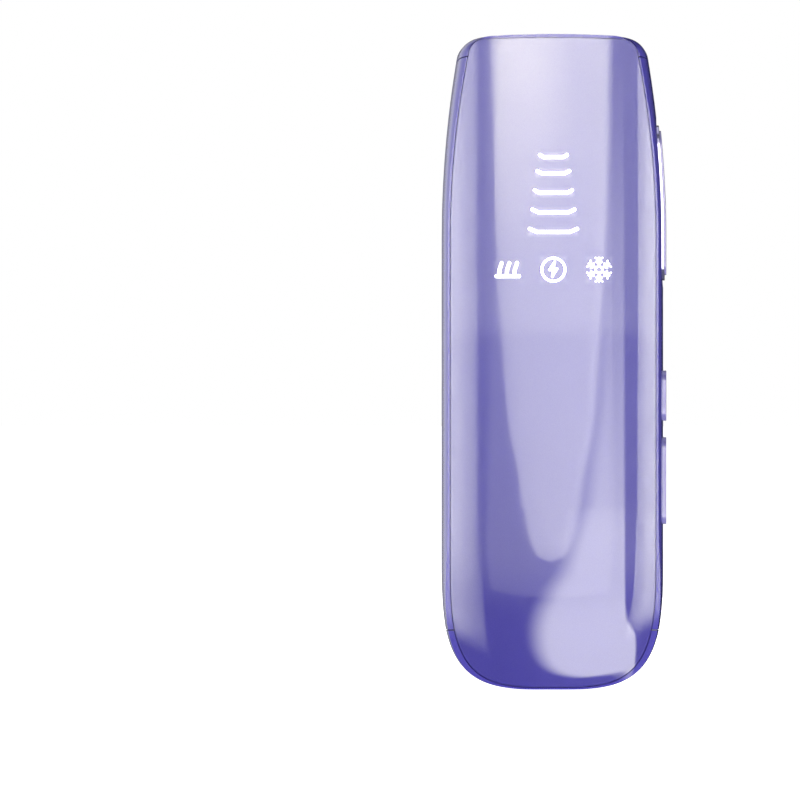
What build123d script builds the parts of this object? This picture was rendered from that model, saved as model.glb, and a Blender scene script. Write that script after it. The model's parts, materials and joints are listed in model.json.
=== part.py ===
from build123d import *
from functools import lru_cache
from math import atan2, cos, degrees, hypot, radians, sin, sqrt, tan
import os

os.makedirs("parts", exist_ok=True)

# Hand-held light epilator, in millimetres. +X is the button side, -Y the display side and
# +Z the window end. The origin lies on the base line, under the middle of the body.

# body
length = 180.0
width = 61.0
depth = 40.0
wall = 1.8
seam_gap = 0.3
fit_gap = 0.15

# outline seen from the front
foot_height = 38.0        # the rounded foot ends here
foot_power = 3.6          # superellipse power of the foot
taper_length = 56.0       # the sides lean in over this length below the window end
taper_radius = 300.0
top_radius = 600.0
corner_radius = 5.0
head_tilt = 5.0           # degrees, the window end and the head seam lean to the rear

# cross-section
crown_radius = 70.0       # front face, side to side
heel_height = 50.0        # below this the front face curls back
heel_radius = 120.0
front_lean = 1.7          # the sides draw in by this much at the front edge
lean_reach = 14.0
side_round = 12.0
foot_round = 16.0
top_round = 9.0

# seams
head_seam = length - 7.5  # at y = 0
end_seam = 16.5
tongue_reach = 2.0
tongue_wall = 1.0

# front panel and what lies behind it
panel_inset = 2.4
panel_end_inset = 1.2
panel_foot_inset = 0.8
panel_taper = 262.0
panel_corner = 4.2
panel_gap = 0.2
panel_wall = 1.6
glyph_depth = 0.8
seal_wall = 0.3
seal_width = 1.7
carrier_wall = 1.6

# display marks, measured from the window end and the middle line
mark_row = length - 64.6
bar_rows = [length - 33.8, length - 38.25, length - 43.6, length - 48.95, length - 54.3]
bar_halves = [3.7, 4.4, 5.1, 5.75, 6.5]
bar_flats = [2.75, 3.15, 3.75, 4.1, 4.5]
bar_rises = [0.6, 0.62, 0.72, 0.8, 0.88]
stroke = 1.05
thin_stroke = 0.6
mark_spread = 12.5
ring_radius = 3.55
snow_radius = 3.5

# buttons on the +X side: middle height, length, breadth
trigger = (length - 46.0, 39.7, 8.6)
power = (80.9, 13.8, 6.4)
level = (57.5, 23.9, 6.4)
proud = 0.9
trigger_rim = 1.5
rim_proud = 0.45
dish_margin = 2.2
dish_depth = 0.4
button_flange = 1.0
press = 0.6

# switch board
board_wall = 1.6
switch_side = 6.0
switch_body = 2.5
plunger_radius = 1.5
plunger_slide = 0.05
switch_tip = width / 2 - 3.35      # plunger tips, at rest against the buttons
plunger_proud = 0.9
switch_top = switch_tip - plunger_proud
switch_plate_wall = 1.0
switch_plate_x = switch_top - switch_body - switch_plate_wall

# window and optics, stacked downwards from the window end
optic_y = 2.0
window_length = 35.0
window_depth = 13.0
window_flange = 1.5
flange_wall = 1.2
bezel_margin = 3.0
bezel_proud = 0.3
bezel_seat = 1.2
cap_top_wall = 2.4
gasket_wall = 0.8
frame_wall = 3.0
frame_leg = 11.8
leg_wall = 1.5
cooler_wall = 2.4
cooler_side = 10.0
block_wall = 3.5
pipe_radius = 1.25
pipe_spread = 8.0
filter_wall = 1.8
lamp_radius = 3.0
lamp_length = 44.0
lamp_drop = 17.0
holder_wall = 3.8
chassis_drop = 24.0
chassis_wall = 1.5
post_radius = 1.9
post_spread = 20.4
post_reach = 8.7

# cooling
sink_top = length - 37.5
sink_height = 21.0
sink_half = 20.0
fin_pitch = 2.5
fin_wall = 0.7
sink_plate = 2.0
duct_height = 3.0
fan_side = 42.0
fan_height = 12.8
fan_wall = 1.2
wheel_radius = 16.0
hub_radius = 9.0
shaft_radius = 1.0
shaft_slide = 0.05
blades = 23
mesh_wall = 0.6
grille_radius = 15.0
grille_slot = 2.0
grille_pitch = 3.6
vent_slot = 1.6
vent_height = 8.0
vent_pitch = 3.4
vent_count = 9

# power side
capacitor_radius = 11.5
capacitor_length = 41.0
jack_y = -1.0
jack_radius = 4.6
jack_bore = 2.85
jack_pin = 1.2
jack_tail = 0.9
jack_floor = 3.0
jack_length = 12.0
collar_wall = 1.4

# fasteners
screw_radius = 0.9
screw_head = 1.8
screw_head_height = 1.1
board_screw_reach = 2.4
display_screw_reach = 1.6
column_radius = 2.7
column_x = 21.0
column_rows = [30.0, length - 32.6]

# places worked out from the sizes above
rear = depth / 2
rear_in = rear - wall
half = width / 2
seal_face = panel_wall + seal_wall
carrier_back = seal_face + carrier_wall
main_board_y = -rear + carrier_back + 4.4
display_board_y = -rear + carrier_back + 2.7
display_board_wall = 1.0
main_board_half = 17.5
main_board_low = heel_height - 19.0
fan_top = sink_top - sink_height - duct_height
fan_middle = fan_top - fan_side / 2
main_board_top = fan_top
fan_rear = rear_in - mesh_wall - 0.1
fan_front = fan_rear - fan_height
sink_front = main_board_y + board_wall + 0.4
sink_rear = sink_front + 24.0
optic_z = length - tan(radians(head_tilt)) * (optic_y + rear)
optics = Pos(0, optic_y, optic_z) * Rot(-head_tilt, 0, 0)


# helpers

def save(node, shape):
    solids = shape.solids()
    shape = solids[0] if len(solids) == 1 else Compound(children=solids)
    export_step(shape, f"parts/{node}.step")
    return shape


def block(x0, x1, y0, y1, z0, z1):
    middle = Pos((x0 + x1) / 2, (y0 + y1) / 2, (z0 + z1) / 2)
    return middle * Box(x1 - x0, y1 - y0, z1 - z0)


def rod(start, end, radius):
    path = Vector(*end) - Vector(*start)
    return Solid.make_cylinder(radius, path.length, Plane(start, z_dir=path))


def rounded_block(x_size, y_size, z0, z1, radius):
    face = RectangleRounded(x_size, y_size, radius)
    return extrude(Pos(0, 0, z0) * face, z1 - z0, dir=(0, 0, 1))


def wire_tube(points, radius, bend):
    path = FilletPolyline(*points, radius=bend)
    start = Plane(points[0], z_dir=Vector(*points[1]) - Vector(*points[0]))
    return sweep(start * Circle(radius), path=path)


def across(face, y0, y1):
    """a face drawn with x and z as its two axes, made solid from y0 to y1"""
    return extrude(Plane.XZ.offset(-y0) * face, y1 - y0, dir=(0, 1, 0))


def sideways(face, x0, x1):
    """a face drawn with y and z as its two axes, made solid from x0 to x1"""
    return extrude(Plane.YZ.offset(x0) * face, x1 - x0, dir=(1, 0, 0))


# the body's shape

def circles_meet(centre_a, radius_a, centre_b, radius_b):
    """the right-hand point where two circles cross"""
    apart = hypot(centre_b[0] - centre_a[0], centre_b[1] - centre_a[1])
    along = (radius_a ** 2 - radius_b ** 2 + apart ** 2) / (2 * apart)
    aside = sqrt(radius_a ** 2 - along ** 2)
    ux = (centre_b[0] - centre_a[0]) / apart
    uz = (centre_b[1] - centre_a[1]) / apart
    foot = (centre_a[0] + along * ux, centre_a[1] + along * uz)
    return max((foot[0] - aside * uz, foot[1] + aside * ux), (foot[0] + aside * uz, foot[1] - aside * ux))


def on_circle(centre, radius, towards):
    share = radius / hypot(towards[0] - centre[0], towards[1] - centre[1])
    return (centre[0] + (towards[0] - centre[0]) * share, centre[1] + (towards[1] - centre[1]) * share)


def arc_points(centre, radius, start, end):
    middle = ((start[0] + end[0]) / 2, (start[1] + end[1]) / 2)
    return [start, on_circle(centre, radius, middle), end]


def foot_points(half_width, low):
    """points down the foot's superellipse, from the base line up to the straight side"""
    steps = [radians(90 - 10 * k) for k in range(1, 9)]
    rise = foot_height - low
    bend = 2 / foot_power
    curve = [(half_width * cos(a) ** bend, foot_height - rise * sin(a) ** bend) for a in steps]
    return [(0, low)] + curve + [(half_width, foot_height)]


def outline(y, side, low, drop, corner, side_radius=taper_radius):
    """the closed outline at y, set in at the side, the foot and the window end"""
    half_width = half - side
    foot = foot_points(half_width, low)
    taper_centre = (half - side_radius, length - taper_length)
    taper = side_radius - side
    top_centre = (0, length - top_radius)
    top = top_radius - drop
    corner_centre = circles_meet(taper_centre, taper - corner, top_centre, top - corner)
    shoulder = (half_width, length - taper_length)
    corner_low = on_circle(taper_centre, taper, corner_centre)
    corner_high = on_circle(top_centre, top, corner_centre)
    taper_arc = arc_points(taper_centre, taper, shoulder, corner_low)
    corner_arc = arc_points(corner_centre, corner, corner_low, corner_high)

    def right(points):
        return [Vector(p[0], y, p[1]) for p in points]

    def left(points):
        return [Vector(-p[0], y, p[1]) for p in reversed(points)]

    rising = Vector(0, 0, 1)
    level_way = Vector(1, 0, 0)
    return Wire([
        Spline(*right(foot), tangents=(level_way, rising)),
        Line(*right([foot[-1], shoulder])),
        ThreePointArc(*right(taper_arc)),
        ThreePointArc(*right(corner_arc)),
        ThreePointArc(*right([corner_high, (0, length - drop), (-corner_high[0], corner_high[1])])),
        ThreePointArc(*left(corner_arc)),
        ThreePointArc(*left(taper_arc)),
        Line(*left([foot[-1], shoulder])),
        Spline(*left(foot), tangents=(-rising, level_way)),
    ])


def rounding(y, start, size, inset, power_of):
    """how far the surface has turned in at y, on its way round to the flat back"""
    if y <= start:
        return inset
    share = min(1.0, (y - start) / (rear - start - inset))
    return inset + (size - inset) * (1 - (1 - share ** power_of) ** (1 / power_of))


def lean(y, start):
    return front_lean * (max(0.0, start - y) / lean_reach) ** 2


def body_section(y, inset):
    side = rounding(y, 0.0, side_round, inset, 2.4) + lean(y, 0.0)
    low = rounding(y, -4.0, foot_round, inset, 2.2) + lean(y, -4.0)
    drop = rounding(y, 8.0, top_round, inset, 2.0) + tan(radians(head_tilt)) * (y + rear)
    corner = corner_radius + 0.4 * (side - inset) - 0.5 * inset
    return outline(y, side, low, drop, corner)


@lru_cache
def body(inset=0.0):
    """the whole body, set in all round by inset, and running past the front face"""
    turned = [(rear - inset) * sin(radians(a)) ** (2 / 2.4) for a in (20, 40, 55, 68, 80, 90)]
    stations = [-rear - 2, -lean_reach, -lean_reach / 2, 0] + turned
    return Solid.make_loft([body_section(y, inset) for y in stations])


def front_y(x, z, inset=0.0):
    flat = -rear + crown_radius - sqrt((crown_radius - inset) ** 2 - x * x)
    if z >= heel_height:
        return flat
    axis_y = heel_radius - rear
    return axis_y - sqrt((axis_y - flat) ** 2 - (heel_height - z) ** 2)


def behind_front(inset=0.0, back=None):
    """what lies behind the front face set in by inset, as far as back where back is given"""
    edge = half + 12
    side_y = front_y(edge, heel_height, inset)
    front = ThreePointArc((-edge, side_y), (0, -rear + inset), (edge, side_y))
    if back is None:
        rest = Polyline((edge, side_y), (edge, rear + 5), (-edge, rear + 5), (-edge, side_y))
    else:
        back_y = front_y(edge, heel_height, back)
        rest = Line((edge, side_y), (edge, back_y))
        rest += ThreePointArc((edge, back_y), (0, -rear + back), (-edge, back_y))
        rest += Line((-edge, back_y), (-edge, side_y))
    face = Pos(0, 0, heel_height) * make_face(front + rest)
    upright = extrude(face, length - heel_height + 30, dir=(0, 0, 1))
    axis = Axis((0, heel_radius - rear, heel_height), (1, 0, 0))
    heel = revolve(face, axis, 38)
    return upright + heel


def panel_prism(grow):
    """the front panel's outline, grown all round, as a deep block"""
    wire = outline(0, panel_inset - grow, panel_foot_inset - grow, panel_end_inset - grow,
                   panel_corner + grow, panel_taper)
    face = Pos(0, -rear - 5, 0) * make_face(wire)
    return extrude(face, depth, dir=(0, 1, 0))


def above_head_seam(gap):
    big = 2 * width
    return Pos(0, 0, head_seam + gap) * Rot(-head_tilt, 0, 0) * block(-big, big, -big, big, 0, big)


def below_end_seam(gap):
    big = 2 * width
    return block(-big, big, -big, big, -big, end_seam - gap)


outer = body() & behind_front()
cavity = body(wall)
pocket = panel_prism(panel_gap) & behind_front(-2.0, seal_face)


# shells

def capsule(button, grow):
    height, long_size, broad = button
    face = SlotOverall(long_size + 2 * grow, broad + 2 * grow, rotation=90)
    return sideways(Pos(0, height) * face, half - 10, half + 5)


def grille_cuts():
    cuts = []
    rows = int(grille_radius / grille_pitch)
    for k in range(-rows, rows + 1):
        z = k * grille_pitch
        reach = sqrt(grille_radius ** 2 - z * z)
        face = SlotOverall(2 * reach, grille_slot)
        cuts.append(across(Pos(0, fan_middle + z) * face, rear - 3, rear + 2))
    return cuts


def vent_cuts():
    cuts = []
    middle = sink_top + 1.0 + vent_height / 2
    for k in range(vent_count):
        x = (k - (vent_count - 1) / 2) * vent_pitch
        face = Pos(x, middle) * SlotOverall(vent_height, vent_slot, rotation=90)
        cuts.append(across(face, rear - 3, rear + 2))
    return cuts


def screw_face(z):
    """where a carrier screw's head starts, just behind the panel"""
    return front_y(column_x + screw_head, z, panel_wall) + 0.25


def columns():
    """the posts in the housing that the carrier's screws run into"""
    posts = []
    for side in (-1, 1):
        for z in column_rows:
            top = screw_face(z) + screw_head_height + 1.8
            post = rod((side * column_x, top, z), (side * column_x, rear, z), column_radius)
            hole = rod((side * column_x, top, z), (side * column_x, top + 9, z), screw_radius)
            posts.append((post & body(wall / 2)) - hole)
    return posts


switch_posts = [level[0] - level[1] / 2 - 4.5, (power[0] + power[1] / 2 + trigger[0] - trigger[1] / 2) / 2]


def switch_bosses():
    bosses = []
    for z in switch_posts:
        start = switch_plate_x + switch_plate_wall
        post = rod((start, 0, z), (half, 0, z), 2.2) & body(wall / 2)
        bosses.append(post - rod((start, 0, z), (start + 3.6, 0, z), screw_radius))
    return bosses


def main_housing():
    middle = outer - cavity - above_head_seam(-seam_gap / 2) - below_end_seam(-seam_gap / 2)
    middle -= pocket
    big = 2 * width
    ring_room = behind_front(carrier_back + 1.5)
    top_lip = above_head_seam(-seam_gap / 2) - above_head_seam(tongue_reach)
    top_root = above_head_seam(-2.5) - above_head_seam(-seam_gap / 2)
    low_lip = block(-big, big, -big, big, end_seam - tongue_reach, end_seam + seam_gap / 2)
    low_root = block(-big, big, -big, big, end_seam + seam_gap / 2, end_seam + 2.5)
    inner = body(wall + tongue_wall)
    lip_outside = body(wall + fit_gap / 2) - inner
    root_outside = body(wall - 0.4) - inner
    tongues = (lip_outside & (top_lip + low_lip)) + (root_outside & (top_root + low_root))
    post_room_x = 2 * (post_spread + post_radius + 0.4)
    post_room_y = 2 * (post_reach + post_radius + 0.4)
    tongues -= optics * rounded_block(post_room_x, post_room_y, -20, 0, post_radius)
    middle += tongues & ring_room
    for piece in columns() + switch_bosses():
        middle += piece
    for cut in grille_cuts() + vent_cuts():
        middle -= cut
    middle -= capsule(trigger, trigger_rim)
    middle -= capsule(trigger, trigger_rim + dish_margin) - body(dish_depth)
    middle -= capsule(power, fit_gap)
    middle -= capsule(level, fit_gap)
    return middle


def post_places():
    return [(x, y) for x in (-post_spread, post_spread) for y in (-post_reach, post_reach)]


def head_cap():
    room = cavity - optics * block(-width, width, -depth, depth, -cap_top_wall, 30)
    cap = (outer & above_head_seam(seam_gap / 2)) - room - pocket
    seat_x = window_length + 2 * bezel_margin
    seat_y = window_depth + 2 * bezel_margin
    cap -= optics * rounded_block(seat_x, seat_y, -bezel_seat, 5, 2.5)
    flange_x = window_length + 2 * window_flange + 2 * fit_gap
    flange_y = window_depth + 2 * window_flange + 2 * fit_gap
    cap -= optics * rounded_block(flange_x, flange_y, -10, 0, 2.0)
    for x, y in post_places():
        post = rod((x, y, -chassis_drop), (x, y, -cap_top_wall + 0.4), post_radius)
        hole = rod((x, y, -chassis_drop), (x, y, -chassis_drop + 6), screw_radius)
        cap += (optics * post & body(wall / 2)) - optics * hole
    return cap


def end_cap():
    cap = (outer & below_end_seam(seam_gap / 2)) - cavity - pocket
    collar = rod((0, jack_y, wall / 2), (0, jack_y, 10), jack_radius + collar_wall)
    cap += collar & body(wall / 2)
    cap -= rod((0, jack_y, wall), (0, jack_y, 20), jack_radius)
    cap -= rod((0, jack_y, -5), (0, jack_y, 5), jack_bore + 0.4)
    return cap


# front panel, marks and carrier

def stroke_face(points, wide):
    face = Pos(*points[0]) * Circle(wide / 2)
    for a, b in zip(points, points[1:]):
        dx = b[0] - a[0]
        dz = b[1] - a[1]
        slot = SlotCenterToCenter(hypot(dx, dz), wide, rotation=degrees(atan2(dz, dx)))
        face += Pos((a[0] + b[0]) / 2, (a[1] + b[1]) / 2) * slot
    return face


def bars_face():
    faces = Sketch()
    for z, whole, flat, rise in zip(bar_rows, bar_halves, bar_flats, bar_rises):
        bar = [(-whole, z + rise), (-flat, z), (flat, z), (whole, z + rise)]
        faces += stroke_face(bar, stroke)
    return faces


def hair_face():
    """three hairs standing on a line of skin"""
    skin = -1.8
    face = stroke_face([(-3.1, skin), (3.1, skin)], stroke)
    for x in (-2.1, 0.0, 2.1):
        face += stroke_face([(x - 0.3, skin), (x - 0.15, 0.0), (x + 0.45, 1.8)], stroke)
    return Pos(-mark_spread, mark_row) * face


def flash_face():
    ring = Circle(ring_radius) - Circle(ring_radius - 0.75)
    bolt = [(0.35, 2.2), (-1.15, -0.1), (-0.1, 0.0), (-0.35, -2.0), (1.05, 0.25), (0.0, 0.35), (0.35, 2.2)]
    return Pos(0, mark_row) * (ring + stroke_face(bolt, thin_stroke))


def snow_face():
    arm = stroke_face([(0, 0.9), (0, snow_radius - 0.3)], thin_stroke)
    for reach, spread in ((0.93, 0.95), (0.62, 0.75)):
        start = (0, snow_radius * reach - spread * 0.7)
        for side in (-1, 1):
            arm += stroke_face([start, (side * spread, snow_radius * reach)], 0.5)
    core = RegularPolygon(1.35, 6, rotation=30) - RegularPolygon(0.75, 6, rotation=30)
    for k in range(6):
        core += Rot(0, 0, 60 * k) * arm
    return Pos(mark_spread, mark_row) * core


def mark_prism(face):
    return across(face, -rear - 1, 0)


marks = {
    "level_marks": mark_prism(bars_face()),
    "hair_mark": mark_prism(hair_face()),
    "flash_mark": mark_prism(flash_face()),
    "cooling_mark": mark_prism(snow_face()),
}


def front_panel():
    panel = panel_prism(0) & behind_front(0, panel_wall)
    for prism in marks.values():
        panel -= prism & behind_front(-1.0, glyph_depth)
    return panel


def panel_seal():
    ring = panel_prism(-0.4) - panel_prism(-0.4 - seal_width)
    return ring & behind_front(panel_wall, seal_face)


def guide_prism(grow):
    bars = block(-8 - grow, 8 + grow, -rear, 0, mark_row + 4.5, bar_rows[0] + 4 + grow)
    icons = block(-17 - grow, 17 + grow, -rear, 0, mark_row - 4.3 - grow, mark_row + 4.5)
    if grow:
        icons += block(-17 - grow, 17 + grow, -rear, 0, mark_row, mark_row + 4.5 + grow)
    return bars + icons


def board_posts():
    low = main_board_low + 6
    high = mark_row - 11.5
    return [(x, z) for x in (-14.5, 14.5) for z in (low, high)]


def display_posts():
    return [(x, z) for x in (-13.0, 13.0) for z in (mark_row + 8.5, mark_row + 29.5)]


def front_carrier():
    plate = panel_prism(-0.4 - seal_width / 2) & body(wall + 2 * fit_gap)
    plate &= behind_front(seal_face, carrier_back)
    plate -= optics * block(-width, width, -depth, depth, -cap_top_wall - fit_gap, 30)
    plate -= guide_prism(fit_gap)
    plate -= rod((0, jack_y, -5), (0, jack_y, 20), jack_radius + collar_wall + fit_gap)
    solid_zone = behind_front(seal_face)
    for x, z in board_posts():
        plate += rod((x, -rear, z), (x, main_board_y, z), 2.4) & solid_zone
    for x, z in display_posts():
        plate += rod((x, -rear, z), (x, display_board_y, z), 2.2) & solid_zone
    for x, z in board_posts():
        plate -= rod((x, main_board_y - board_screw_reach - 0.4, z), (x, main_board_y, z), screw_radius)
    for x, z in display_posts():
        start = display_board_y - display_screw_reach - 0.4
        plate -= rod((x, start, z), (x, display_board_y, z), screw_radius)
    for side in (-1, 1):
        for z in column_rows:
            head = screw_face(z)
            seat = head + screw_head_height
            plate += rod((side * column_x, head, z), (side * column_x, seat + 1.8, z), 3.0) & solid_zone
            plate -= rod((side * column_x, -rear, z), (side * column_x, seat, z), screw_head + 0.1)
            plate -= rod((side * column_x, seat, z), (side * column_x, seat + 3, z), screw_radius + 0.2)
    return plate


def light_guide():
    return guide_prism(0) & behind_front(seal_face) & block(-30, 30, -rear, display_board_y - 0.9, 0, length)


def display_board():
    low = mark_row - 4.8
    high = mark_row + 35.5
    plate = block(-17, 17, display_board_y, display_board_y + display_board_wall, low, high)
    for x, z in display_posts():
        plate -= rod((x, -rear, z), (x, 0, z), screw_radius + 0.2)
    return plate


def display_leds():
    places = [(x, mark_row) for x in (-mark_spread, 0, mark_spread)]
    for z in bar_rows:
        places += [(-3, z), (3, z)]
    leds = [block(x - 0.8, x + 0.8, display_board_y - 0.7, display_board_y, z - 0.8, z + 0.8)
            for x, z in places]
    return Compound(children=leds)


# buttons

def button_piece(button):
    cap = capsule(button, 0) & (body(-proud) - body(wall + fit_gap))
    flange = capsule(button, button_flange) & (body(wall + fit_gap) - body(wall + fit_gap + 1))
    height = button[0]
    stem = rod((switch_tip, 0, height), (half - 1, 0, height), 2.0)
    return cap + flange + stem


def trigger_ring():
    ring = capsule(trigger, trigger_rim) - capsule(trigger, fit_gap)
    return ring & (body(-rim_proud) - body(wall))


def switch_rows():
    return [trigger[0], power[0], level[0]]


def switch_board():
    low = switch_posts[0] - 4
    high = trigger[0] + 10
    x0 = switch_plate_x
    plate = block(x0, x0 + switch_plate_wall, -4.5, 4.5, low, high)
    for z in switch_posts:
        plate -= rod((x0 - 1, 0, z), (x0 + 3, 0, z), screw_radius + 0.2)
    return plate


def switch_bodies():
    start = switch_plate_x + switch_plate_wall
    bodies = []
    for z in switch_rows():
        side = switch_side / 2
        case = block(start, switch_top, -side, side, z - side, z + side)
        bore = rod((start + 0.5, 0, z), (switch_top + 1, 0, z), plunger_radius + plunger_slide)
        bodies.append(case - bore)
    return Compound(children=bodies)


def plunger(z):
    return rod((switch_top - press - 0.5, 0, z), (switch_tip, 0, z), plunger_radius)


# window, cooling frame and lamp

def sapphire_window():
    pane = rounded_block(window_length, window_depth, -bezel_seat, bezel_proud, 1.5)
    flange_x = window_length + 2 * window_flange
    flange_y = window_depth + 2 * window_flange
    flange = rounded_block(flange_x, flange_y, -bezel_seat - flange_wall, -bezel_seat, 1.8)
    return optics * (pane + flange)


def contact_places():
    x = (window_length + bezel_margin) / 2
    return [(-x, 0), (x, 0)]


def window_bezel():
    seat_x = window_length + 2 * bezel_margin - 0.1
    seat_y = window_depth + 2 * bezel_margin - 0.1
    rim = rounded_block(seat_x, seat_y, -bezel_seat, bezel_proud, 2.45)
    rim -= rounded_block(window_length + 0.2, window_depth + 0.2, -5, 5, 1.6)
    for x, y in contact_places():
        rim -= rod((x, y, -5), (x, y, 5), 0.8)
    return optics * rim


def contact_pads():
    pads = [rod((x, y, -bezel_seat), (x, y, bezel_proud + 0.2), 0.8) for x, y in contact_places()]
    return optics * Compound(children=pads)


gasket_low = -bezel_seat - flange_wall - gasket_wall
frame_low = gasket_low - frame_wall
frame_x = post_spread - post_radius - 0.5
frame_y = window_depth / 2 + window_flange + 0.9


def window_gasket():
    top = gasket_low + gasket_wall
    ring = rounded_block(window_length + 1.6, window_depth + 2 * window_flange, gasket_low, top, 1.5)
    ring -= rounded_block(window_length - 2, window_depth - 2, gasket_low - 1, top + 1, 1.5)
    return optics * ring


def cold_frame():
    plate = block(-frame_x, frame_x, -frame_y, frame_y, frame_low, gasket_low)
    plate -= rounded_block(window_length - 2, window_depth - 2, frame_low - 1, gasket_low + 1, 1.5)
    for side in (-1, 1):
        y0, y1 = sorted((side * (frame_y - leg_wall), side * frame_y))
        plate += block(-15, 15, y0, y1, frame_low - frame_leg, frame_low)
    return optics * plate


def cooler_slab(start, wall_size, half_length):
    """a pair of upright slabs, one on each side of the lamp"""
    low = frame_low - 1.6 - cooler_side
    slabs = []
    for side in (-1, 1):
        y0, y1 = sorted((side * start, side * (start + wall_size)))
        slabs.append(block(-half_length, half_length, y0, y1, low, low + cooler_side))
    return slabs


def cooler_modules():
    return optics * Compound(children=cooler_slab(frame_y, cooler_wall, 15))


def pipe_route(side, x):
    """from the hot block down to the heat sink's plate on that side"""
    middle = frame_y + cooler_wall + block_wall / 2
    low = frame_low - 1.6 - cooler_side
    top = optics * Pos(x, side * middle, low + cooler_side - 1.5)
    leave = optics * Pos(x, side * middle, low - 1.5)
    plate_y = sink_front + sink_plate / 2 if side < 0 else sink_rear - sink_plate / 2
    reach = Vector(x, plate_y, sink_top + 2.0)
    end = Vector(x, plate_y, sink_top - sink_height + 3)
    return [tuple(top.position), tuple(leave.position), tuple(reach), tuple(end)]


def heat_pipes():
    tubes = []
    for side in (-1, 1):
        for x in (-pipe_spread, pipe_spread):
            tubes.append(wire_tube(pipe_route(side, x), pipe_radius, 3.0))
    return Compound(children=tubes)


def hot_blocks(pipes):
    blocks = optics * Compound(children=cooler_slab(frame_y + cooler_wall, block_wall, 12))
    return blocks - pipes


def filter_glass():
    y = frame_y - leg_wall - 0.4
    return optics * block(-18, 18, -y, y, frame_low - 0.6 - filter_wall, frame_low - 0.6)


filter_low = frame_low - 0.6 - filter_wall


def reflector():
    """a polished trough with a rounded floor under the lamp"""
    inside = frame_y - leg_wall - 1.0
    outside = inside + 0.5
    x = lamp_length / 2 - holder_wall - 1.2
    trough = rod((-x, 0, -lamp_drop), (x, 0, -lamp_drop), outside)
    trough += block(-x, x, -outside, outside, -lamp_drop, filter_low - 0.1)
    trough -= rod((-x - 1, 0, -lamp_drop), (x + 1, 0, -lamp_drop), inside)
    trough -= block(-x - 1, x + 1, -inside, inside, -lamp_drop, 0)
    return optics * trough


def flash_lamp():
    x = lamp_length / 2
    return optics * (rod((-x, 0, -lamp_drop), (x, 0, -lamp_drop), lamp_radius)
                     - rod((-x, 0, -lamp_drop), (x, 0, -lamp_drop), lamp_radius - 0.7))


def lamp_electrodes():
    x = lamp_length / 2
    inner = [rod((side * (x - 5), 0, -lamp_drop), (side * (x + 0.8), 0, -lamp_drop), lamp_radius - 0.7)
             for side in (-1, 1)]
    return optics * Compound(children=inner)


def lamp_holder(side):
    x1 = lamp_length / 2 - 0.8
    x0 = x1 - holder_wall
    y = post_reach - post_radius - 0.4
    low, high = sorted((side * x0, side * x1))
    base = block(low, high, -y, y, -chassis_drop + 2.0, filter_low - 0.3)
    return optics * (base - rod((-40, 0, -lamp_drop), (40, 0, -lamp_drop), lamp_radius))


def lead_places():
    return [(-16.5, -3.5), (16.5, -3.5)]


def optics_chassis():
    x = post_spread + post_radius
    y = post_reach + post_radius
    low = -chassis_drop - chassis_wall
    plate = rounded_block(2 * x, 2 * y, low, -chassis_drop, 2.0)
    for side in (-1, 1):
        inner, outer_x = sorted((side * 17.4, side * 20.6))
        plate += block(inner, outer_x, -3, 6, -chassis_drop, -chassis_drop + 2.0)
    for px, py in post_places():
        plate -= rod((px, py, low - 1), (px, py, 0), screw_radius + 0.2)
    for px in (-pipe_spread, pipe_spread):
        room = pipe_radius + 0.5
        plate -= block(px - room, px + room, y - 4.5, y + 1, low - 1, 0)
        plate -= block(px - room, px + room, -y - 1, -y + 4.5, low - 1, 0)
    for px, py in lead_places():
        plate -= rod((px, py - 2.5, low - 1), (px, py - 2.5, 0), 1.2)
    return optics * plate


def head_screws():
    low = -chassis_drop - chassis_wall
    screws = []
    for x, y in post_places():
        head = rod((x, y, low - screw_head_height), (x, y, low), screw_head)
        screws.append(head + rod((x, y, low), (x, y, low + 6), screw_radius))
    return optics * Compound(children=screws)


def temperature_sensor():
    return optics * block(15.4, frame_x - 0.6, frame_y - leg_wall, frame_y, frame_low - 1.2, frame_low)


# cooling

def heat_sink(pipes):
    low = sink_top - sink_height
    sink = block(-sink_half, sink_half, sink_front, sink_front + sink_plate, low, sink_top)
    sink += block(-sink_half, sink_half, sink_rear - sink_plate, sink_rear, low, sink_top)
    count = int(2 * (sink_half - fin_wall) / fin_pitch)
    for k in range(count + 1):
        x = (k - count / 2) * fin_pitch
        sink += block(x - fin_wall / 2, x + fin_wall / 2, sink_front, sink_rear, low, sink_top)
    return sink - pipes


def fan_housing():
    side = fan_side / 2
    inside = side - fan_wall
    case = block(-side, side, fan_front, fan_rear, fan_middle - side, fan_middle + side)
    low, high = fan_front + fan_wall, fan_rear - fan_wall
    case -= rod((0, low, fan_middle), (0, high, fan_middle), inside)
    case -= block(-inside, inside, low, high, fan_middle, fan_middle + side + 1)
    case -= rod((0, high - 1, fan_middle), (0, fan_rear + 1, fan_middle), grille_radius - 1)
    case += rod((0, low - 0.5, fan_middle), (0, low + 5.0, fan_middle), 2.4)
    case -= rod((0, low + 0.5, fan_middle), (0, low + 6, fan_middle), 1.8)
    return case


def fan_bearing():
    low = fan_front + fan_wall
    sleeve = rod((0, low + 0.5, fan_middle), (0, low + 5.0, fan_middle), 1.8)
    return sleeve - rod((0, low, fan_middle), (0, low + 6, fan_middle), shaft_radius + shaft_slide)


def fan_shaft():
    low = fan_front + fan_wall
    return rod((0, low + 0.9, fan_middle), (0, low + 8.0, fan_middle), shaft_radius)


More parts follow.
